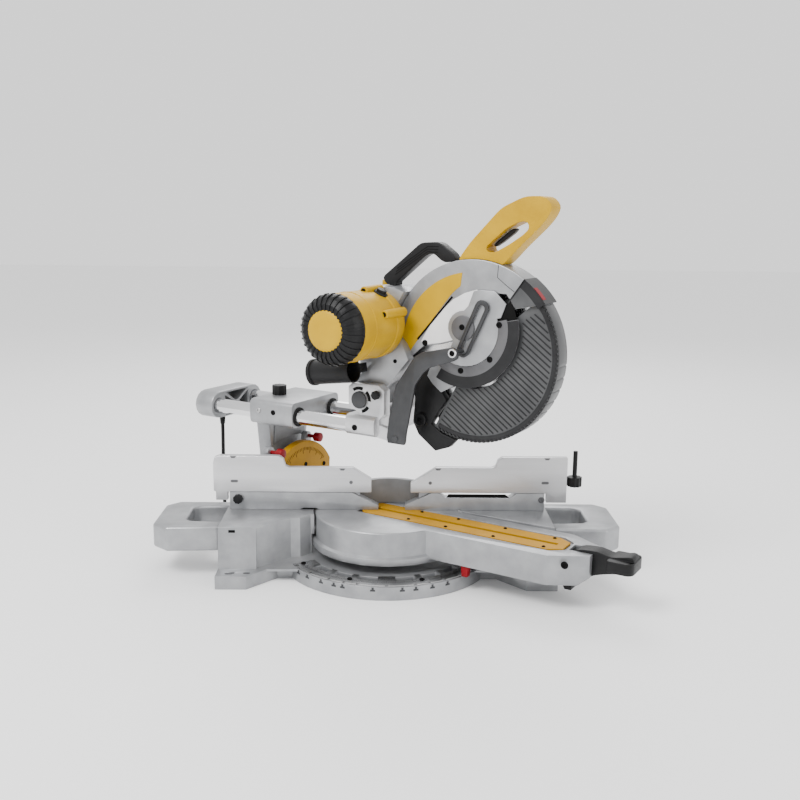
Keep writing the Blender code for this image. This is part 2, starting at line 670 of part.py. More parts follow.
port = turned([(20, 10), (22.5, 10), (22.5, 100), (20, 100)], "Z", (0, 0), 20)
tilt = Matrix.Translation((-92, 5, 382)) @ Matrix.Rotation(math.radians(-98), 4, "X")
finish("dust_port", moved(port, tilt), BLACK, "head",
       joins=[moved(prism([(-8, 12), (8, 12), (8, 38), (-8, 38)], "X", 21, 46), tilt)])

chute = [(-134, 331), (-118, 308), (-103, 284), (-126, 270), (-154, 261.5), (-140, 246), (-113, 236)]
chute += [(-78, 262), (-66, 284), (-70, 330), (-58, 352), (-72, 378), (-96, 384)]
finish("dust_chute", prism(chute, "X", -20.5, -4), BLACK, "head",
       cuts=[prism(circle(ARBOR, 40.5, 16), "X", -30, 30)])

# ------------------------------------------------------------------------------ lower guard
guard_band = circle(ARBOR, 156.9, 50, 140, 158)
guard_band += circle(ARBOR, 62, 20, 298, -158)
notches = [prism(circle((ARBOR[0] + 158.6 * math.cos(math.radians(a)),
                         ARBOR[1] + 158.6 * math.sin(math.radians(a))), 3.2, 6), "X", -19, 19)
           for a in range(184, 280, 8)]
finish(
    "lower_guard", prism(guard_band, "X", -18, 18), SMOKE, "lower_guard",
    cuts=[prism(circle(ARBOR, 154.2, 60), "X", -15.5, 15.5)] + notches,
)
slot_outer = capsule(LINK_END, 12, (-205, 500), 13, 8)
slot_inner = capsule(LINK_END, 6.0, (-204, 498), 6.5, 8)
finish("guard_slot_arm", prism(slot_outer, "X", -34, -31, [slot_inner[::-1]]), GREY, "lower_guard")

link_bar = [(-78, 252), (-44, 252), (-42, 262), (-46, 296), (-60, 358), (-97, 412), (-110, 420), (-170, 434)]
link_bar += [(-180, 430), (-181, 416), (-174, 411), (-127, 395), (-114, 384), (-99, 362), (-82, 274)]
link_bar.append((-80, 256))
finish(
    "guard_link", prism(link_bar, "X", -71.5, -65.5), GREY, "link",
    joins=[turned([(0, -70), (4.5, -70), (4.5, -35), (0, -35)], "X", LINK_END, 12)],
)

# ------------------------------------------------------------------------------ blade and drive
TEETH = 60
blade_points = []
for tooth in range(TEETH):
    angle = 360.0 * tooth / TEETH
    blade_points.append((ARBOR[0] + BLADE_RADIUS * math.cos(math.radians(angle)),
                         ARBOR[1] + BLADE_RADIUS * math.sin(math.radians(angle))))
    low = math.radians(angle + 1.0)
    blade_points.append((ARBOR[0] + 146.5 * math.cos(low), ARBOR[1] + 146.5 * math.sin(low)))
finish("saw_blade", prism(blade_points, "X", -1.2, 1.2, [circle(ARBOR, 8.1, 16)]), CHROME, "blade")
finish(
    "arbor_shaft",
    turned([(0, -5.8), (7.7, -5.8), (7.7, 1.6), (23, 1.6), (23, 8), (10, 8), (10, 33.4), (8, 33.4),
            (8, 52), (0, 52)], "X", ARBOR, 16),
    STEEL, "blade",
)
finish(
    "outer_flange", turned([(8.1, -6), (23, -4.5), (23, -1.6), (8.1, -1.6)], "X", ARBOR, 16), STEEL, "blade",
)
finish("blade_bolt", prism(circle(ARBOR, 9.5, 6), "X", -13.6, -6.3), STEEL, "blade")
finish(
    "arbor_pulley", turned([(8.4, 34), (24, 34), (24, 50), (8.4, 50)], "X", ARBOR, 20), STEEL, "blade",
)
finish(
    "motor_pulley", turned([(6.4, 34), (14, 34), (14, 50), (6.4, 50)], "X", MOTOR, 16), STEEL, "rotor",
)
finish(
    "drive_belt",
    prism(capsule(ARBOR, 27.2, MOTOR, 17.2, 12), "X", 36, 48,
          [capsule(ARBOR, 24.5, MOTOR, 14.5, 12)[::-1]]),
    RUBBER, "head",
)
finish(
    "armature",
    turned([(0, -196), (6, -196), (6, -172), (16, -172), (16, -156), (6, -156), (6, -148), (38, -148),
            (38, -77), (6, -77), (6, 52), (0, 52)], "X", MOTOR, 16),
    COPPER, "rotor",
)
finish(
    "cooling_fan", turned([(6.4, -66), (46, -66), (46, -62), (12, -58), (6.4, -58)], "X", MOTOR, 20),
    BLACK, "rotor",
)
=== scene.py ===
"""Looks for the sliding miter saw: rounded castings, fine detail, procedural materials, cord and light.

Places are given in millimetres.  Most are in the saw frame, which is the row frame turned by the
miter angle about +Z: x across the blade, y towards the rails, z up.  Fixed parts use the row frame.
"""

import json
import math

import bmesh
import bpy
from mathutils import Matrix, Vector
from mathutils.geometry import tessellate_polygon


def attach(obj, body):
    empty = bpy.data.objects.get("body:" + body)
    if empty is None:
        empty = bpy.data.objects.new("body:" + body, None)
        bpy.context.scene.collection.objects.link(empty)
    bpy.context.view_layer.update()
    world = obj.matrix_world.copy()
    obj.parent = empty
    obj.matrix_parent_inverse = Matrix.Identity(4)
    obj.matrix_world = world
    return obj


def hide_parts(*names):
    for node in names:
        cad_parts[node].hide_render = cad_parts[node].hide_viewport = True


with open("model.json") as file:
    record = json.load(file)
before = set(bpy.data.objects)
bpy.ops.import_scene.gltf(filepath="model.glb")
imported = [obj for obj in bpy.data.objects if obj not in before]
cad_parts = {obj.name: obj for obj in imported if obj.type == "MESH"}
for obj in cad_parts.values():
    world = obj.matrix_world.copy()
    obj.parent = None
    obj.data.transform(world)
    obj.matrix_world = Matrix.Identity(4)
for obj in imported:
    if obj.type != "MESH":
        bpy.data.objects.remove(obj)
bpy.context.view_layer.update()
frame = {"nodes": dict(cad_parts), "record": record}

MM = 0.001
MITER_ANGLE = 58.0
ROW = Matrix.Scale(MM, 4)
SAW = Matrix.Rotation(math.radians(MITER_ANGLE), 4, "Z") @ ROW

ARBOR = (-184.0, 419.0)
MOTOR = (-5.0, 463.0)
MOTOR_RADIUS = 60.0
HUB = (-168.0, 462.0)
LINK_PIVOT = (-60.0, 261.0)
LINK_END = (-171.0, 424.0)
RAIL_X = 55.0
RAIL_Z = 270.5
TABLE_TOP = 100.0

CORD_DIAMETER = 7.5
COIL_CENTRE = (60.0, 350.0)
COIL_START = (202.04, 53.0, 4.05)  # angle in degrees, radius, height
COIL_PITCH = 7.6
PLUG_START = 384.8
CORD_ROUTE = [
    (-15.0, 394.0, 221.7), (-15.0, 394.0, 205.0), (-15.1, 394.1, 188.0), (-15.2, 394.3, 170.0),
    (-15.3, 394.4, 152.0), (-15.3, 394.5, 134.0), (-15.3, 394.5, 116.0), (-15.2, 394.5, 98.0),
    (-15.1, 394.4, 80.0), (-15.0, 394.3, 62.0), (-15.0, 394.1, 46.0), (-14.9, 393.9, 36.0),
    (-14.1, 391.7, 23.8), (-11.5, 385.3, 13.4), (-7.6, 375.7, 6.6), (-2.5, 363.1, 4.05),
]


# ------------------------------------------------------------------------------ camera and light
def camera():
    """The viewing angle of the product picture: from the front, a little above."""
    data = bpy.data.cameras.new("camera")
    data.lens = 43.13
    data.sensor_width = 36.0
    eye = bpy.data.objects.new("camera", data)
    bpy.context.scene.collection.objects.link(eye)
    turn = Matrix.Rotation(math.radians(-0.70), 4, "Z")
    pitch = Matrix.Rotation(math.radians(90.0 - 11.36), 4, "X")
    roll = Matrix.Rotation(math.radians(0.58), 4, "Z")
    eye.matrix_world = Matrix.Translation((0.0009, -1.7443, 0.6637)) @ turn @ pitch @ roll
    bpy.context.scene.camera = eye


def area_light(name, at, look_at, size, power):
    """A large soft panel."""
    data = bpy.data.lights.new(name, "AREA")
    data.shape = "RECTANGLE"
    data.size = size
    data.size_y = size
    data.energy = power
    lamp = bpy.data.objects.new(name, data)
    bpy.context.scene.collection.objects.link(lamp)
    aim = (Vector(look_at) - Vector(at)).to_track_quat("-Z", "Y")
    lamp.matrix_world = Matrix.Translation(at) @ aim.to_matrix().to_4x4()


def studio():
    """Pale floor, bright surroundings and three soft panels."""
    world = bpy.data.worlds.new("studio")
    world.use_nodes = True
    world.node_tree.nodes["Background"].inputs["Color"].default_value = (1.0, 1.0, 1.0, 1.0)
    world.node_tree.nodes["Background"].inputs["Strength"].default_value = 1.35
    bpy.context.scene.world = world
    area_light("key", (-1.2, -1.3, 2.2), (0.0, 0.0, 0.25), 1.0, 62.0)
    area_light("fill", (1.9, -1.1, 1.2), (0.0, 0.0, 0.25), 1.2, 14.0)
    area_light("back", (0.2, 2.0, 1.9), (0.0, 0.0, 0.3), 1.4, 30.0)
    bm = bmesh.new()
    bmesh.ops.create_grid(bm, x_segments=2, y_segments=2, size=9.0)
    mesh = bpy.data.meshes.new("floor")
    bm.to_mesh(mesh)
    bm.free()
    floor = bpy.data.objects.new("floor", mesh)
    floor.location = (0.0, 0.0, -0.0002)
    bpy.context.scene.collection.objects.link(floor)
    pale = bpy.data.materials.new("pale_floor")
    pale.use_nodes = True
    shader = pale.node_tree.nodes["Principled BSDF"]
    shader.inputs["Base Color"].default_value = (0.93, 0.93, 0.93, 1.0)
    shader.inputs["Roughness"].default_value = 0.7
    mesh.materials.append(pale)


camera()
studio()


# ------------------------------------------------------------------------------ materials
def surface(name, dark, light, roughness, metallic, grain, bump, stretch=(1.0, 1.0, 1.0), shine=0.5):
    """A shader whose colour wanders from dark to light, with fine grain in its bump and gloss.

    grain is the size of the surface's grain in millimetres, and stretch lengthens it along an axis.
    shine is the strength of a plastic's mirror reflection.
    """
    made = bpy.data.materials.new(name)
    made.use_nodes = True
    nodes = made.node_tree.nodes
    links = made.node_tree.links
    shader = nodes["Principled BSDF"]
    shader.inputs["Metallic"].default_value = metallic
    shader.inputs["Specular IOR Level"].default_value = shine
    place = nodes.new("ShaderNodeTexCoord")
    scale = nodes.new("ShaderNodeMapping")
    scale.inputs["Scale"].default_value = [1.0 / s for s in stretch]
    links.new(place.outputs["Object"], scale.inputs["Vector"])

    patches = nodes.new("ShaderNodeTexNoise")
    patches.inputs["Scale"].default_value = 28.0
    patches.inputs["Detail"].default_value = 6.0
    links.new(scale.outputs["Vector"], patches.inputs["Vector"])
    colours = nodes.new("ShaderNodeValToRGB")
    colours.color_ramp.elements[0].position = 0.32
    colours.color_ramp.elements[0].color = (*dark, 1.0)
    colours.color_ramp.elements[1].position = 0.68
    colours.color_ramp.elements[1].color = (*light, 1.0)
    links.new(patches.outputs["Fac"], colours.inputs["Fac"])
    links.new(colours.outputs["Color"], shader.inputs["Base Color"])

    fine = nodes.new("ShaderNodeTexNoise")
    fine.inputs["Scale"].default_value = 1000.0 / grain
    fine.inputs["Detail"].default_value = 3.0
    fine.inputs["Roughness"].default_value = 0.6
    links.new(scale.outputs["Vector"], fine.inputs["Vector"])
    gloss = nodes.new("ShaderNodeMapRange")
    gloss.inputs["To Min"].default_value = max(0.03, roughness - 0.07)
    gloss.inputs["To Max"].default_value = min(1.0, roughness + 0.07)
    links.new(fine.outputs["Fac"], gloss.inputs["Value"])
    links.new(gloss.outputs["Result"], shader.inputs["Roughness"])
    relief = nodes.new("ShaderNodeBump")
    relief.inputs["Strength"].default_value = bump
    relief.inputs["Distance"].default_value = 0.0004
    links.new(fine.outputs["Fac"], relief.inputs["Height"])
    links.new(relief.outputs["Normal"], shader.inputs["Normal"])
    return made


LOOKS = {
    "cast_silver": surface("cast_silver", (0.27, 0.275, 0.285), (0.36, 0.365, 0.375), 0.36, 0.60, 1.6, 0.35),
    "dark_silver": surface("dark_silver", (0.15, 0.155, 0.16), (0.21, 0.215, 0.22), 0.42, 0.50, 1.6, 0.35),
    "machined": surface("machined", (0.50, 0.50, 0.51), (0.66, 0.66, 0.67), 0.30, 0.60, 0.6, 0.30,
                        (14, 1, 1)),
    "bright": surface("bright", (0.78, 0.78, 0.79), (0.90, 0.90, 0.91), 0.35, 0.10, 1.2, 0.10),
    "steel": surface("steel", (0.38, 0.38, 0.38), (0.54, 0.54, 0.54), 0.28, 1.0, 0.5, 0.25, (1, 1, 8)),
    "chrome": surface("chrome", (0.60, 0.60, 0.61), (0.80, 0.80, 0.81), 0.12, 1.0, 0.9, 0.06, (6, 6, 1)),
    "blade_steel": surface("blade_steel", (0.66, 0.67, 0.68), (0.82, 0.82, 0.83), 0.22, 1.0, 0.7, 0.12),
    "yellow": surface("yellow", (0.43, 0.245, 0.0), (0.51, 0.30, 0.0), 0.45, 0.0, 0.9, 0.30, shine=0.2),
    "yellow_plate": surface("yellow_plate", (0.38, 0.185, 0.0), (0.45, 0.225, 0.0), 0.5, 0.0, 0.7, 0.35,
                            shine=0.2),
    "yellow_print": surface("yellow_print", (0.46, 0.27, 0.0), (0.52, 0.31, 0.0), 0.4, 0.0, 2.0, 0.05,
                            shine=0.2),
    "black": surface("black", (0.004, 0.004, 0.0045), (0.009, 0.009, 0.0095), 0.42, 0.0, 0.9, 0.45,
                     shine=0.22),
    "pitch": surface("pitch", (0.002, 0.002, 0.002), (0.004, 0.004, 0.004), 0.65, 0.0, 1.2, 0.2, shine=0.1),
    "grey_metal": surface("grey_metal", (0.028, 0.029, 0.031), (0.044, 0.045, 0.048), 0.42, 0.3, 1.2, 0.3),
    "grey_plate": surface("grey_plate", (0.085, 0.085, 0.09), (0.12, 0.12, 0.125), 0.40, 0.3, 1.2, 0.3),
    "smoke": surface("smoke", (0.045, 0.046, 0.048), (0.070, 0.071, 0.073), 0.34, 0.0, 2.5, 0.08, shine=0.35),
    "smoke_dark": surface("smoke_dark", (0.006, 0.006, 0.007), (0.014, 0.014, 0.015), 0.34, 0.0, 2.5, 0.08,
                          shine=0.3),
    "red": surface("red", (0.17, 0.0008, 0.004), (0.24, 0.001, 0.007), 0.40, 0.0, 0.9, 0.3, shine=0.2),
    "rubber": surface("rubber", (0.006, 0.006, 0.006), (0.013, 0.013, 0.013), 0.60, 0.0, 0.8, 0.4, shine=0.2),
    "copper": surface("copper", (0.42, 0.17, 0.07), (0.62, 0.29, 0.13), 0.35, 1.0, 0.8, 0.5, (1, 1, 5)),
    "brass": surface("brass", (0.30, 0.17, 0.02), (0.38, 0.22, 0.03), 0.40, 0.0, 0.8, 0.2),
}


# ------------------------------------------------------------------------------ shapes
def circle(centre, radius, count=24, start=0.0, sweep=360.0):
    """Points around a circle, or along an arc when the sweep is under a full turn."""
    steps = count if sweep >= 360.0 else count - 1
    points = []
    for i in range(count):
        angle = math.radians(start + sweep * i / steps)
        points.append((centre[0] + radius * math.cos(angle), centre[1] + radius * math.sin(angle)))
    return points


def sector(inner, outer, start, sweep, centre=(0.0, 0.0), count=24):
    """The outline of a ring sector."""
    rim = circle(centre, outer, count, start, sweep)
    return rim + circle(centre, inner, count, start + sweep, -sweep)


def polar(centre, reach, degrees):
    """The point at a distance and direction from a centre."""
    angle = math.radians(degrees)
    return (centre[0] + reach * math.cos(angle), centre[1] + reach * math.sin(angle))


def tick(centre, outer, inner, degrees, width):
    """The outline of one scale mark that points at a centre."""
    return strip([polar(centre, outer, degrees), polar(centre, inner, degrees)], width)


def strip(points, width):
    """The outline of a band of even width along a line of points."""
    left = []
    right = []
    for i, here in enumerate(points):
        before = Vector(points[max(i - 1, 0)])
        after = Vector(points[min(i + 1, len(points) - 1)])
        along = (after - before).normalized()
        side = Vector((-along.y, along.x)) * width / 2
        left.append(tuple(Vector(here) + side))
        right.append(tuple(Vector(here) - side))
    return left + right[::-1]


def placed(axis, u, v, w):
    """A point from outline coordinates u, v and depth w along the named axis."""
    if axis == "X":
        return Vector((w, u, v))
    if axis == "Y":
        return Vector((u, w, v))
    return Vector((u, v, w))


def prism(bm, outline, axis, low, high, holes=()):
    """Adds a closed solid: an outline with holes, drawn out along an axis."""
    rings = [outline] + list(holes)
    flat = [[Vector((u, v, 0.0)) for u, v in ring] for ring in rings]
    triangles = tessellate_polygon(flat)
    points = [point for ring in rings for point in ring]
    bottom = [bm.verts.new(placed(axis, u, v, low)) for u, v in points]
    top = [bm.verts.new(placed(axis, u, v, high)) for u, v in points]
    for a, b, c in triangles:
        bm.faces.new((bottom[a], bottom[b], bottom[c]))
        bm.faces.new((top[c], top[b], top[a]))
    first = 0
    for ring in rings:
        for i in range(len(ring)):
            a = first + i
            b = first + (i + 1) % len(ring)
            bm.faces.new((bottom[a], bottom[b], top[b], top[a]))
        first += len(ring)


def turned(bm, profile, axis, centre, count=24):
    """Adds a turned solid: (radius, distance along the axis) points run round the axis."""
    rings = []
    for radius, along in profile:
        if radius == 0.0:
            rings.append([bm.verts.new(placed(axis, centre[0], centre[1], along))])
            continue
        rings.append([bm.verts.new(placed(axis, u, v, along)) for u, v in circle(centre, radius, count)])
    closed = profile[0][0] > 0.0
    for k in range(len(rings) if closed else len(rings) - 1):
        here = rings[k]
        there = rings[(k + 1) % len(rings)]
        for i in range(count):
            j = (i + 1) % count
            if len(here) == 1:
                bm.faces.new((here[0], there[j], there[i]))
            elif len(there) == 1:
                bm.faces.new((here[i], here[j], there[0]))
            else:
                bm.faces.new((here[i], here[j], there[j], there[i]))


def socket_screw(bm, axis, centre, face, outward, radius=5.0, height=1.8):
    """Adds a round screw head with a hexagon socket, standing on a face."""
    top = face + outward * height
    rim = face + outward * height * 0.6
    floor = face + outward * height * 0.25
    base = face - outward * 0.4
    turned(bm, [(0.0, base), (radius, base), (radius, rim), (radius * 0.86, top), (radius * 0.52, top),
                (radius * 0.46, floor), (0.0, floor)], axis, centre, 18)


def add_copy(bm, part, place):
    """Moves a small shape into place and adds it to a larger one."""
    bmesh.ops.transform(part, matrix=place, verts=part.verts)
    mesh = bpy.data.meshes.new("copy")
    part.to_mesh(mesh)
    part.free()
    bm.from_mesh(mesh)
    bpy.data.meshes.remove(mesh)


def finished(name, bm, look, body, space=SAW, smooth=35.0):
    """Turns mesh data into a piece with a finish that rides on a body."""
    bmesh.ops.recalc_face_normals(bm, faces=bm.faces)
    bmesh.ops.transform(bm, matrix=space, verts=bm.verts)
    mesh = bpy.data.meshes.new(name)
    bm.to_mesh(mesh)
    bm.free()
    mesh.materials.append(LOOKS[look])
    mesh.shade_smooth()
    mesh.set_sharp_from_angle(angle=math.radians(smooth))
    piece = bpy.data.objects.new(name, mesh)
    bpy.context.scene.collection.objects.link(piece)
    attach(piece, body)
    return piece


def plates(name, outlines, axis, low, high, look, body, space=SAW):
    """Several thin plates of the same depth as one piece."""
    bm = bmesh.new()
    for outline in outlines:
        prism(bm, outline, axis, low, high)
    return finished(name, bm, look, body, space)


def screws(name, axis, spots, outward, body, radius=5.0, look="pitch", space=SAW):
    """A group of screws; each spot is (u, v, face)."""
    bm = bmesh.new()
    for u, v, face in spots:
        socket_screw(bm, axis, (u, v), face, outward, radius)
    return finished(name, bm, look, body, space)


# ------------------------------------------------------------------------------ CAD nodes
def body_of_node(node):
    """The body that a CAD node belongs to."""
    for body, members in frame["record"]["behaviour"]["bodies"].items():
        if node in members:
            return body
    raise KeyError(node)


def rounded_node(node, look, width, segments=2, angle=28.0):
    """The CAD shape with its edges rounded, as a piece that stands for the node."""
    source = frame["nodes"][node]
    bm = bmesh.new()
    bm.from_mesh(source.data)
    bmesh.ops.remove_doubles(bm, verts=bm.verts, dist=0.00002)
    bmesh.ops.dissolve_limit(bm, angle_limit=math.radians(1.0), verts=bm.verts, edges=bm.edges)
    sharp = []
    for edge in bm.edges:
        if len(edge.link_faces) == 2 and math.degrees(edge.calc_face_angle(0.0)) > angle:
            sharp.append(edge)
    bmesh.ops.bevel(bm, geom=sharp, offset=width * MM, segments=segments, profile=0.5,
                    affect="EDGES", clamp_overlap=True)
    piece = finished(node + "_shape", bm, look, body_of_node(node), Matrix.Identity(4), 50.0)
    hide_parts(node)
    return piece


ROUNDED = [
    ("base_casting", "cast_silver", 1.6, 2), ("left_side_handle", "cast_silver", 5.0, 4),
    ("right_side_handle", "cast_silver", 5.0, 4), ("fixed_fence", "cast_silver", 0.8, 2),
    ("left_sliding_fence", "machined", 1.4, 3), ("right_sliding_fence", "machined", 1.4, 3),
    ("left_fence_clamp_knob", "black", 0.8, 2), ("right_fence_clamp_knob", "black", 0.8, 2),
    ("turntable", "cast_silver", 1.6, 2), ("bevel_scale", "yellow_plate", 1.6, 3),
    ("miter_pointer", "red", 1.0, 2), ("miter_lock_lever", "black", 2.5, 3),
    ("detent_lever", "black", 1.0, 2), ("left_bevel_stop", "red", 1.2, 2),
    ("right_bevel_stop", "red", 1.2, 2), ("support_housing", "cast_silver", 2.2, 3),
    ("rail_lock_knob", "black", 1.2, 2), ("bevel_lock_lever", "black", 2.0, 3),
    ("rear_cap", "cast_silver", 2.5, 3), ("pivot_bracket", "machined", 1.5, 2),
    ("chop_shaft", "grey_metal", 1.2, 2), ("head_lock_pin", "black", 0.8, 2),
    ("guard_link", "grey_metal", 1.2, 2), ("arm_casting", "cast_silver", 1.8, 2),
    ("belt_cover", "cast_silver", 1.2, 2), ("upper_guard", "cast_silver", 3.0, 3),
    ("hub_plate", "cast_silver", 0.8, 2), ("guard_ring", "grey_plate", 0.6, 2),
    ("arbor_cover", "grey_plate", 0.8, 2), ("motor_housing", "yellow", 2.0, 3),
    ("motor_end_cap", "black", 1.2, 2), ("carry_handle", "black", 4.5, 4),
    ("main_handle", "yellow", 7.0, 5), ("dust_port", "black", 0.8, 2),
    ("lower_guard", "smoke", 0.8, 2), ("guard_slot_arm", "grey_metal", 0.8, 2),
    ("dust_chute", "black", 1.5, 2), ("trigger", "black", 1.2, 2),
    ("arbor_lock_button", "yellow", 1.0, 2), ("cord_plug", "rubber", 1.2, 2),
]
for rounded_entry in ROUNDED:
    rounded_node(*rounded_entry)

KEPT = {
    "miter_scale_plate": "steel", "left_kerf_plate": "yellow_plate", "right_kerf_plate": "yellow_plate",
    "miter_lock_rod": "steel", "bevel_pivot_bolt": "steel", "near_rail": "chrome", "far_rail": "chrome",
    "cord_strain_relief": "rubber", "saw_blade": "blade_steel", "arbor_shaft": "steel",
    "outer_flange": "steel", "blade_bolt": "steel", "arbor_pulley": "steel", "armature": "copper",
    "cooling_fan": "black", "motor_pulley": "steel", "drive_belt": "rubber", "motor_stator": "copper",
}
for node, look in KEPT.items():
    solid = frame["nodes"][node]
    solid.data.materials.clear()
    solid.data.materials.append(LOOKS[look])


# ------------------------------------------------------------------------------ power cord
def coil_points():
    """The coil: in three turns on the floor, one turn up, and out on top of them."""
    start, radius, height = COIL_START
    inner = radius - 3 * COIL_PITCH
    points = []
    steps = 24
    last = 7 * steps + round(steps * (360.0 - start) / 360.0)
    for i in range(last + 1):
        turns = i / steps
        angle = math.radians(start + 360.0 * turns)
        if turns < 3:
            reach = radius - COIL_PITCH * turns
        elif turns < 4:
            reach = inner
        else:
            reach = inner + COIL_PITCH * (turns - 4)
        rise = min(max(turns - 3, 0.0), 1.0)
        lift = height + COIL_PITCH * rise * rise * (3 - 2 * rise)
        points.append((*polar(COIL_CENTRE, reach, math.degrees(angle)), lift))
    return points


def smooth_line(points, step):
    """Closely spaced points along a Catmull-Rom curve."""
    line = [Vector(p) for p in points]
    ends = [line[0] * 2 - line[1]] + line + [line[-1] * 2 - line[-2]]
    fine = []
    for i in range(1, len(ends) - 2):
        a, b, c, d = ends[i - 1:i + 3]
        count = max(2, math.ceil((c - b).length / step))
        for k in range(count):
            t = k / count
            fine.append(0.5 * (2 * b + (c - a) * t + (2 * a - 5 * b + 4 * c - d) * t ** 2
                               + (3 * b - a - 3 * c + d) * t ** 3))
    fine.append(line[-1])
    return fine


def power_cord():
    """The whole cord as one curve, from the strain relief down, round the coil and into the plug."""
    points = CORD_ROUTE + coil_points()
    points.append((points[-1][0], PLUG_START - 14.0, points[-1][2]))
    points.append((points[-1][0], PLUG_START, points[-1][2]))
    line = [SAW @ p for p in smooth_line(points, 4.0)]
    curve = bpy.data.curves.new("cord", "CURVE")
    curve.dimensions = "3D"
    curve.bevel_depth = CORD_DIAMETER / 2 * MM
    curve.bevel_resolution = 4
    curve.use_fill_caps = True
    spline = curve.splines.new("POLY")
    spline.points.add(len(line) - 1)
    for slot, point in zip(spline.points, line):
        slot.co = (*point, 1.0)
    curve.materials.append(LOOKS["rubber"])
    cord = bpy.data.objects.new("cord", curve)
    bpy.context.scene.collection.objects.link(cord)
    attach(cord, "carriage")
    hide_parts("power_cord", "cord_coil")


power_cord()

# ------------------------------------------------------------------------------ base
PIVOT = (0.0, 0.0)
SCALE_RIM = 183.0
SCALE_SCREW_CIRCLE = 176.0
plates("miter_graduations",
       [tick(PIVOT, SCALE_RIM, SCALE_RIM - (6.0 if degree % 5 else 10.0), degree, 0.55)
        for degree in range(-150, -29)], "Z", 26.3, 26.75, "pitch", "base", ROW)
screws("scale_screws", "Z",
       [(*polar(PIVOT, SCALE_SCREW_CIRCLE, a), 26.6) for a in (-149.5, -111.5, -69.5, -31.5)],
       1, "base", 4.6, "pitch", ROW)


def rim_pocket_shade():
    """Painted shade of small detent pockets in the front wall of the base: dark plates, each a shallow staple
    shape.
    """
    bm = bmesh.new()
    for degree in (-144.0, -136.0, -126.0, -118.0, -113.0, -97.0, -82.0, -75.0, -66.0, -57.0):
        centre = Matrix.Rotation(math.radians(degree + 90.0), 4, "Z")
        for shape in ([(-4.5, 19.5), (4.5, 19.5), (4.5, 16.2), (-4.5, 16.2)],
                      [(-2.0, 23.6), (2.0, 23.6), (2.0, 19.5), (-2.0, 19.5)]):
            part = bmesh.new()
            prism(part, shape, "Y", -196.35, -195.4)
            add_copy(bm, part, centre)
    finished("rim_pocket_shade", bm, "grey_metal", "base", ROW)


rim_pocket_shade()
plates("fence_marks", [
    circle((-284.0, 155.0), 2.6, 10, -90, 180) + circle((-293.0, 155.0), 2.6, 10, 90, 180),
    circle((-68.5, 154.0), 3.4, 16),
], "Y", -0.35, 0.3, "grey_plate", "left_fence", ROW)
plates("right_fence_marks", [
    circle((303.0, 155.0), 2.6, 10, -90, 180) + circle((294.0, 155.0), 2.6, 10, 90, 180),
    circle((81.0, 153.5), 3.4, 16),
], "Y", -0.35, 0.3, "grey_plate", "right_fence", ROW)
plates("left_fence_notches", [[(x - 6, z), (x + 6, z), (x + 3, z - 4), (x - 3, z - 4)]
                              for x, z in ((-290.0, 203.6), (-85.0, 180.9))],
       "Y", -0.3, 0.3, "grey_plate", "left_fence", ROW)
plates("right_fence_notches", [[(x - 6, z), (x + 6, z), (x + 3, z - 4), (x - 3, z - 4)]
                               for x, z in ((95.5, 182.2), (300.8, 203.6))],
       "Y", -0.3, 0.3, "grey_plate", "right_fence", ROW)
# Thin dark plates that stand for slots, gaps and pads in the castings; in the slots and gaps the dark colour
# is painted shade.
plates("fence_slot_shade", [
    [(-160, 126.0), (-116, 126.0), (-112, 131.0), (-164, 131.0)],
    [(112, 124.8), (232, 124.8), (224, 131.5), (116, 131.5)],
], "Y", 0.9, 2.4, "pitch", "base", ROW)
plates("table_gap_shadows", [[(-166, 100.5), (-128, 100.5), (-136, 103.4), (-158, 103.4)]],
       "Y", -0.4, 0.4, "pitch", "base", ROW)
screws("right_fence_screw", "Y", [(292.8, 121.5, 0.0)], -1, "base", 6.0, "grey_plate", ROW)
plates("base_label_pads", [[(-284, 88.0), (-272, 88.0), (-272, 95.0), (-284, 95.0)]],
       "Y", -107.0, -105.6, "pitch", "base", ROW)
# Dark plates on the feet: painted shade that gives the look of bolt slots.
plates("foot_slot_shade", [
    circle((-284.5, -136.0), 3.2, 10, 90, 180) + circle((-276.0, -136.0), 3.2, 10, -90, 180),
    circle((-252.0, -133.0), 3.2, 10, 90, 180) + circle((-246.0, -133.0), 3.2, 10, -90, 180),
    circle((246.0, -138.0), 3.2, 10, 90, 180) + circle((256.0, -138.0), 3.2, 10, -90, 180),
], "Z", 23.4, 24.25, "grey_metal", "base", ROW)

plates("fence_bow", [sector(75.2, 84.8, 38.5, 103.0, (5.0, -30.0), 30)], "Z", 100.9, 148.6,
       "dark_silver", "base", ROW)

# ------------------------------------------------------------------------------ table
KERF_SCREWS = (-62.0, -140.0, -235.0, -330.0)
screws("left_kerf_screws", "Z", [(-25.0, y, 99.6) for y in KERF_SCREWS], 1, "left_kerf", 3.2)
screws("right_kerf_screws", "Z", [(25.0, y, 99.6) for y in KERF_SCREWS], 1, "right_kerf", 3.2)
screws("arm_end_screws", "X", [(-382.0, 88.0, -58.0)], -1, "table", 6.5, "pitch")
BEVEL_CENTRE = (0.0, TABLE_TOP)
BEVEL_RIM = 94.0
plates("bevel_ticks",
       [tick(BEVEL_CENTRE, BEVEL_RIM, BEVEL_RIM - (6.0 if degree % 15 else 12.0), degree, 0.8)
        for degree in range(42, 139, 3)], "Y", 197.6, 198.2, "pitch", "table")
screws("bevel_scale_screws", "Y", [(7.7, 158.8, 198.0), (69.4, 146.7, 198.0), (-52.0, 146.7, 198.0)],
       -1, "table", 4.5)

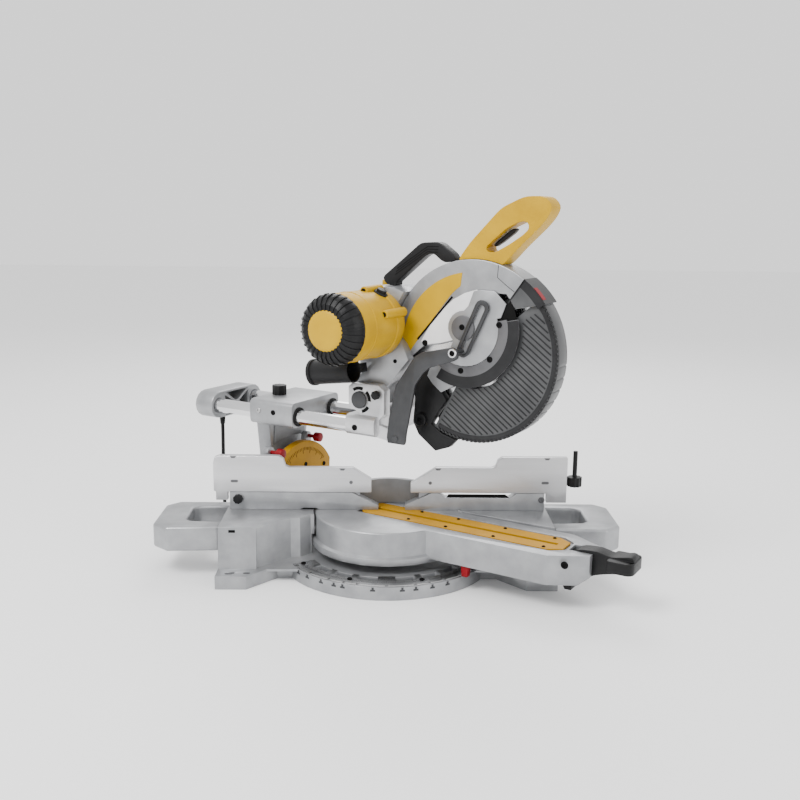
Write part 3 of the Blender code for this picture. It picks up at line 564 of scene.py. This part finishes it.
# ------------------------------------------------------------------------------ bevel support and carriage
bm = bmesh.new()
for side in (-1, 1):
    turned(bm, [(14.5, 164.3), (18.5, 164.3), (18.5, 165.7), (14.5, 165.7)], "Y", (side * RAIL_X, RAIL_Z), 28)
finished("rail_wipers", bm, "rubber", "bevel_support")
plates("bevel_index_face", [[(-50, 205), (-46, 249), (46, 249), (50, 205), (36, 212), (0, 216), (-36, 212)]],
       "Y", 230.6, 232.3, "dark_silver", "bevel_support")
screws("housing_screws", "X", [(210.3, 277.4, -77.0)], -1, "bevel_support", 5.0)
screws("housing_bright_screw", "X", [(245.5, 277.8, -77.0)], -1, "bevel_support", 5.0, "steel")
screws("bracket_screws", "X", [(22.9, 272.5, -77.0)], -1, "carriage", 5.5)
# Dark plates on the pivot bracket: painted shade in its arc slots.
plates("bracket_slot_shade", [
    sector(18.5, 24.5, 52, 56, (20.0, 322.0), 10), sector(18.5, 24.5, 132, 50, (20.0, 322.0), 10),
    sector(18.5, 24.5, 212, 44, (20.0, 322.0), 10),
], "X", -65.5, -64.6, "pitch", "carriage")
bm = bmesh.new()
turned(bm, [(0.0, -73.4), (5.2, -73.4), (6.0, -72.6), (6.0, -71.3), (0.0, -71.3)], "X", LINK_PIVOT, 20)
finished("link_pivot_screw", bm, "grey_metal", "link")
bm = bmesh.new()
turned(bm, [(5.2, -72.6), (7.4, -72.6), (8.0, -71.3), (5.2, -71.3)], "X", LINK_END, 24)
finished("link_pin_ring", bm, "chrome", "link")
screws("link_pin_head", "X", [(*LINK_END, -71.5)], -1, "link", 5.0)

# ------------------------------------------------------------------------------ saw head
decal = circle(ARBOR, 139.0, 26, 81.0, -85.5)
decal += [(-57.0, 407.5), (-65.8, 420.0), (-82.3, 443.2), (-112.0, 481.0), (-141.8, 518.3), (-150.5, 526.5)]
decal.append((-159.3, 533.1))
plates("guard_decal", [decal], "X", -24.9, -24.1, "yellow_print", "head")
plates("guard_decal_stripe", [strip([(-76.1, 435.4), (-110.0, 474.8), (-143.9, 514.2)], 3.2)],
       "X", -25.3, -24.4, "pitch", "head")
window = [(-198.0, 523.0), (-190.5, 528.9), (-168.0, 522.0), (-146.0, 509.8), (-125.0, 491.0)]
window += [(-106.5, 470.1), (-92.0, 448.0), (-83.5, 433.0), (-91.0, 427.5), (-122.0, 432.5)]
window += [(-149.0, 440.5), (-171.0, 472.5)]
plates("blade_window", [window], "X", -24.5, -24.1, "bright", "head")
plates("nose_seam", [strip([(-229.6, 571.8), (-228.2, 551.0), (-244.0, 539.0), (-260.0, 528.4)], 0.9)],
       "X", -24.45, -24.0, "pitch", "head")
nose = circle(ARBOR, 160.4, 10, 125.2, 19.6)
# The dark front end of the upper guard: near face, its two borders, the rim round it and a red mark.
plates("nose_trim", [nose + [(-262.8, 500.9), (-252.0, 516.2)]], "X", -24.7, -24.1, "smoke", "head")
plates("nose_rim", [sector(145.5, 160.4, 125.2, 19.6, ARBOR, 10), sector(112.0, 160.4, 125.2, 1.2, ARBOR, 4)],
       "X", -25.1, -24.5, "smoke_dark", "head")
plates("nose_cap", [sector(160.4, 161.0, 125.2, 19.7, ARBOR, 10)], "X", -24.6, 24.6, "smoke_dark", "head")
plates("nose_red_mark", [sector(160.6, 161.3, 133.0, 9.0, ARBOR, 6)], "X", -24.0, -11.0, "red", "head")
plates("lower_skirt", [[(-104, 392), (-97, 372), (-108.7, 358), (-125.4, 345.2), (-149.6, 358.7), (-145, 367),
                        (-128, 381), (-122, 392)]], "X", -24.6, -21.5, "cast_silver", "head")
bm = bmesh.new()
turned(bm, [(0.0, -29.0), (10.5, -29.0), (12.0, -27.5), (12.0, -20.0), (0.0, -20.0)], "X", (-84.0, 291.0), 24)
finished("chute_boss", bm, "black", "head")
screws("chute_screw", "X", [(-84.0, 291.0, -29.0)], -1, "head", 4.2)
screws("ring_screws", "X", [(-235.4, 472.4, -27.6), (-219.8, 412.4, -27.6), (-164.9, 387.9, -27.6)],
       -1, "head", 5.2)
screws("guard_screw", "X", [(-91.3, 430.2, -24.2)], -1, "head", 5.5)
screws("arm_screw", "X", [(-42.3, 395.5, -44.6)], -1, "head", 3.6)
screws("hub_screw", "X", [(-167.0, 464.0, -30.6)], -1, "head", 5.0)

FIN_COUNT = 30
fin = [(30.5, -200.0), (30.5, -206.0), (44.6, -206.6), (55.4, -199.0), (61.2, -186.4), (61.2, -177.0),
       (57.0, -177.0), (52.0, -190.0), (42.0, -197.0)]
bm = bmesh.new()
for i in range(FIN_COUNT):
    part = bmesh.new()
    prism(part, [(along, reach) for reach, along in fin], "Y", -1.5, 1.5)
    spin = Matrix.Translation((0.0, *MOTOR)) @ Matrix.Rotation(2 * math.pi * i / FIN_COUNT, 4, "X")
    add_copy(bm, part, spin)
finished("cap_fins", bm, "black", "head")
bm = bmesh.new()
turned(bm, [(0.0, -208.8), (16.0, -208.5), (27.0, -207.8), (33.0, -206.6), (34.5, -205.2), (34.5, -203.0),
            (0.0, -203.0)], "X", MOTOR, 40)
finished("end_badge", bm, "yellow_print", "head")
bm = bmesh.new()
turned(bm, [(59.6, -141.0), (60.7, -140.2), (60.7, -138.0), (59.6, -137.2)], "X", MOTOR, 48)
turned(bm, [(59.6, -76.0), (61.6, -74.0), (61.6, -56.0), (59.6, -53.0)], "X", MOTOR, 48)
finished("motor_collars", bm, "yellow", "head")
bm = bmesh.new()
BOSSES = [(22.0, -112.0), (83.0, -102.0), (150.0, -112.0)]
boss_spots = []
for angle, low in BOSSES:
    spot = polar(MOTOR, MOTOR_RADIUS, 180.0 - angle)
    boss_spots.append((*spot, low))
    turned(bm, [(0.0, low), (6.4, low), (7.6, low + 1.5), (8.6, -50.0), (0.0, -50.0)], "X", spot, 20)
finished("motor_bosses", bm, "yellow", "head")
screws("motor_screws", "X", boss_spots, -1, "head", 4.4)


def brush_cap():
    """The brush holder cap on the front shoulder of the motor, pointing outwards."""
    bm = bmesh.new()
    turned(bm, [(0.0, 54.0), (13.0, 54.0), (13.0, 60.5), (10.5, 62.5), (9.0, 62.5), (9.0, 66.0), (7.6, 67.4),
                (0.0, 67.4)], "Z", (0.0, 0.0), 24)
    lean = Matrix.Rotation(math.radians(24.5), 4, "X")
    bmesh.ops.transform(bm, matrix=Matrix.Translation((-74.0, *MOTOR)) @ lean, verts=bm.verts)
    finished("brush_cap", bm, "black", "head")


brush_cap()
# Dark strips on the carry handle: painted shade in its grooves.
plates("carry_handle_groove_shade",
       [strip([(-20.0 - 2 * k, 546.0 + 5.5 * k), (-86.0, 588.5 + 4.5 * k), (-106.0 - k, 588.0 + 5.0 * k)],
              1.3)
        for k in range(3)], "X", -11.35, -10.4, "pitch", "head")
plates("handle_seam", [strip([(-178.6, 592.0), (-232.0, 646.0), (-262.0, 668.0), (-300.0, 672.0)], 0.8)],
       "X", -16.25, -15.6, "brass", "head")
bm = bmesh.new()
tilt = Matrix.Translation((-92, 5, 382)) @ Matrix.Rotation(math.radians(-98), 4, "X")
turned(bm, [(22.3, 92.0), (24.2, 93.0), (24.2, 99.0), (22.3, 100.0)], "Z", (0.0, 0.0), 32)
bmesh.ops.transform(bm, matrix=tilt, verts=bm.verts)
finished("dust_port_collar", bm, "black", "head")


# ------------------------------------------------------------------------------ lower guard
RIB_SPACING = 8.4
RIB_HEADING = Vector((-0.80, -0.60))


def rib_span(offset):
    """Where a rib at this distance from the guard's centre line starts and ends on the near face."""
    across = Vector((RIB_HEADING.y, -RIB_HEADING.x))
    span = []
    for step in range(-170, 171):
        spot = Vector(ARBOR) + across * offset + RIB_HEADING * step
        away = spot - Vector(ARBOR)
        bearing = math.degrees(math.atan2(away.y, away.x)) % 360
        if (spot - Vector(HUB)).length > 107.0 and away.length < 143.5 and 146.0 < bearing < 296.0:
            span.append(spot)
    return span


def guard_ribs():
    """Slanting ribs moulded on the near face of the lower guard."""
    outlines = []
    for k in range(-17, 18):
        span = rib_span(RIB_SPACING * k)
        if len(span) > 4:
            outlines.append(strip([tuple(span[0]), tuple(span[-1])], 2.2))
    plates("guard_ribs", outlines, "X", -18.9, -17.8, "smoke_dark", "lower_guard")


guard_ribs()
plates("guard_rim_band", [sector(145.5, 153.0, 142.0, 154.0, ARBOR, 60)], "X", -19.2, -17.8, "smoke_dark",
       "lower_guard")
plates("guard_rim_teeth",
       [[polar(ARBOR, 154.5, a), polar(ARBOR, 157.2, a),
         polar(ARBOR, 157.2, a + 1.5), polar(ARBOR, 151.5, a + 2.2)]
        for a in range(146, 294, 3)], "X", -20.4, -16.0, "smoke_dark", "lower_guard")
plates("hub_band", [sector(84.0, 103.7, 168.5, 131.0, HUB, 36)], "X", -27.9, -27.4, "smoke_dark", "head")
plates("hub_backing", [sector(62.0, 100.0, 146.0, 24.0, HUB, 14)], "X", -24.6, -24.1, "pitch", "head")
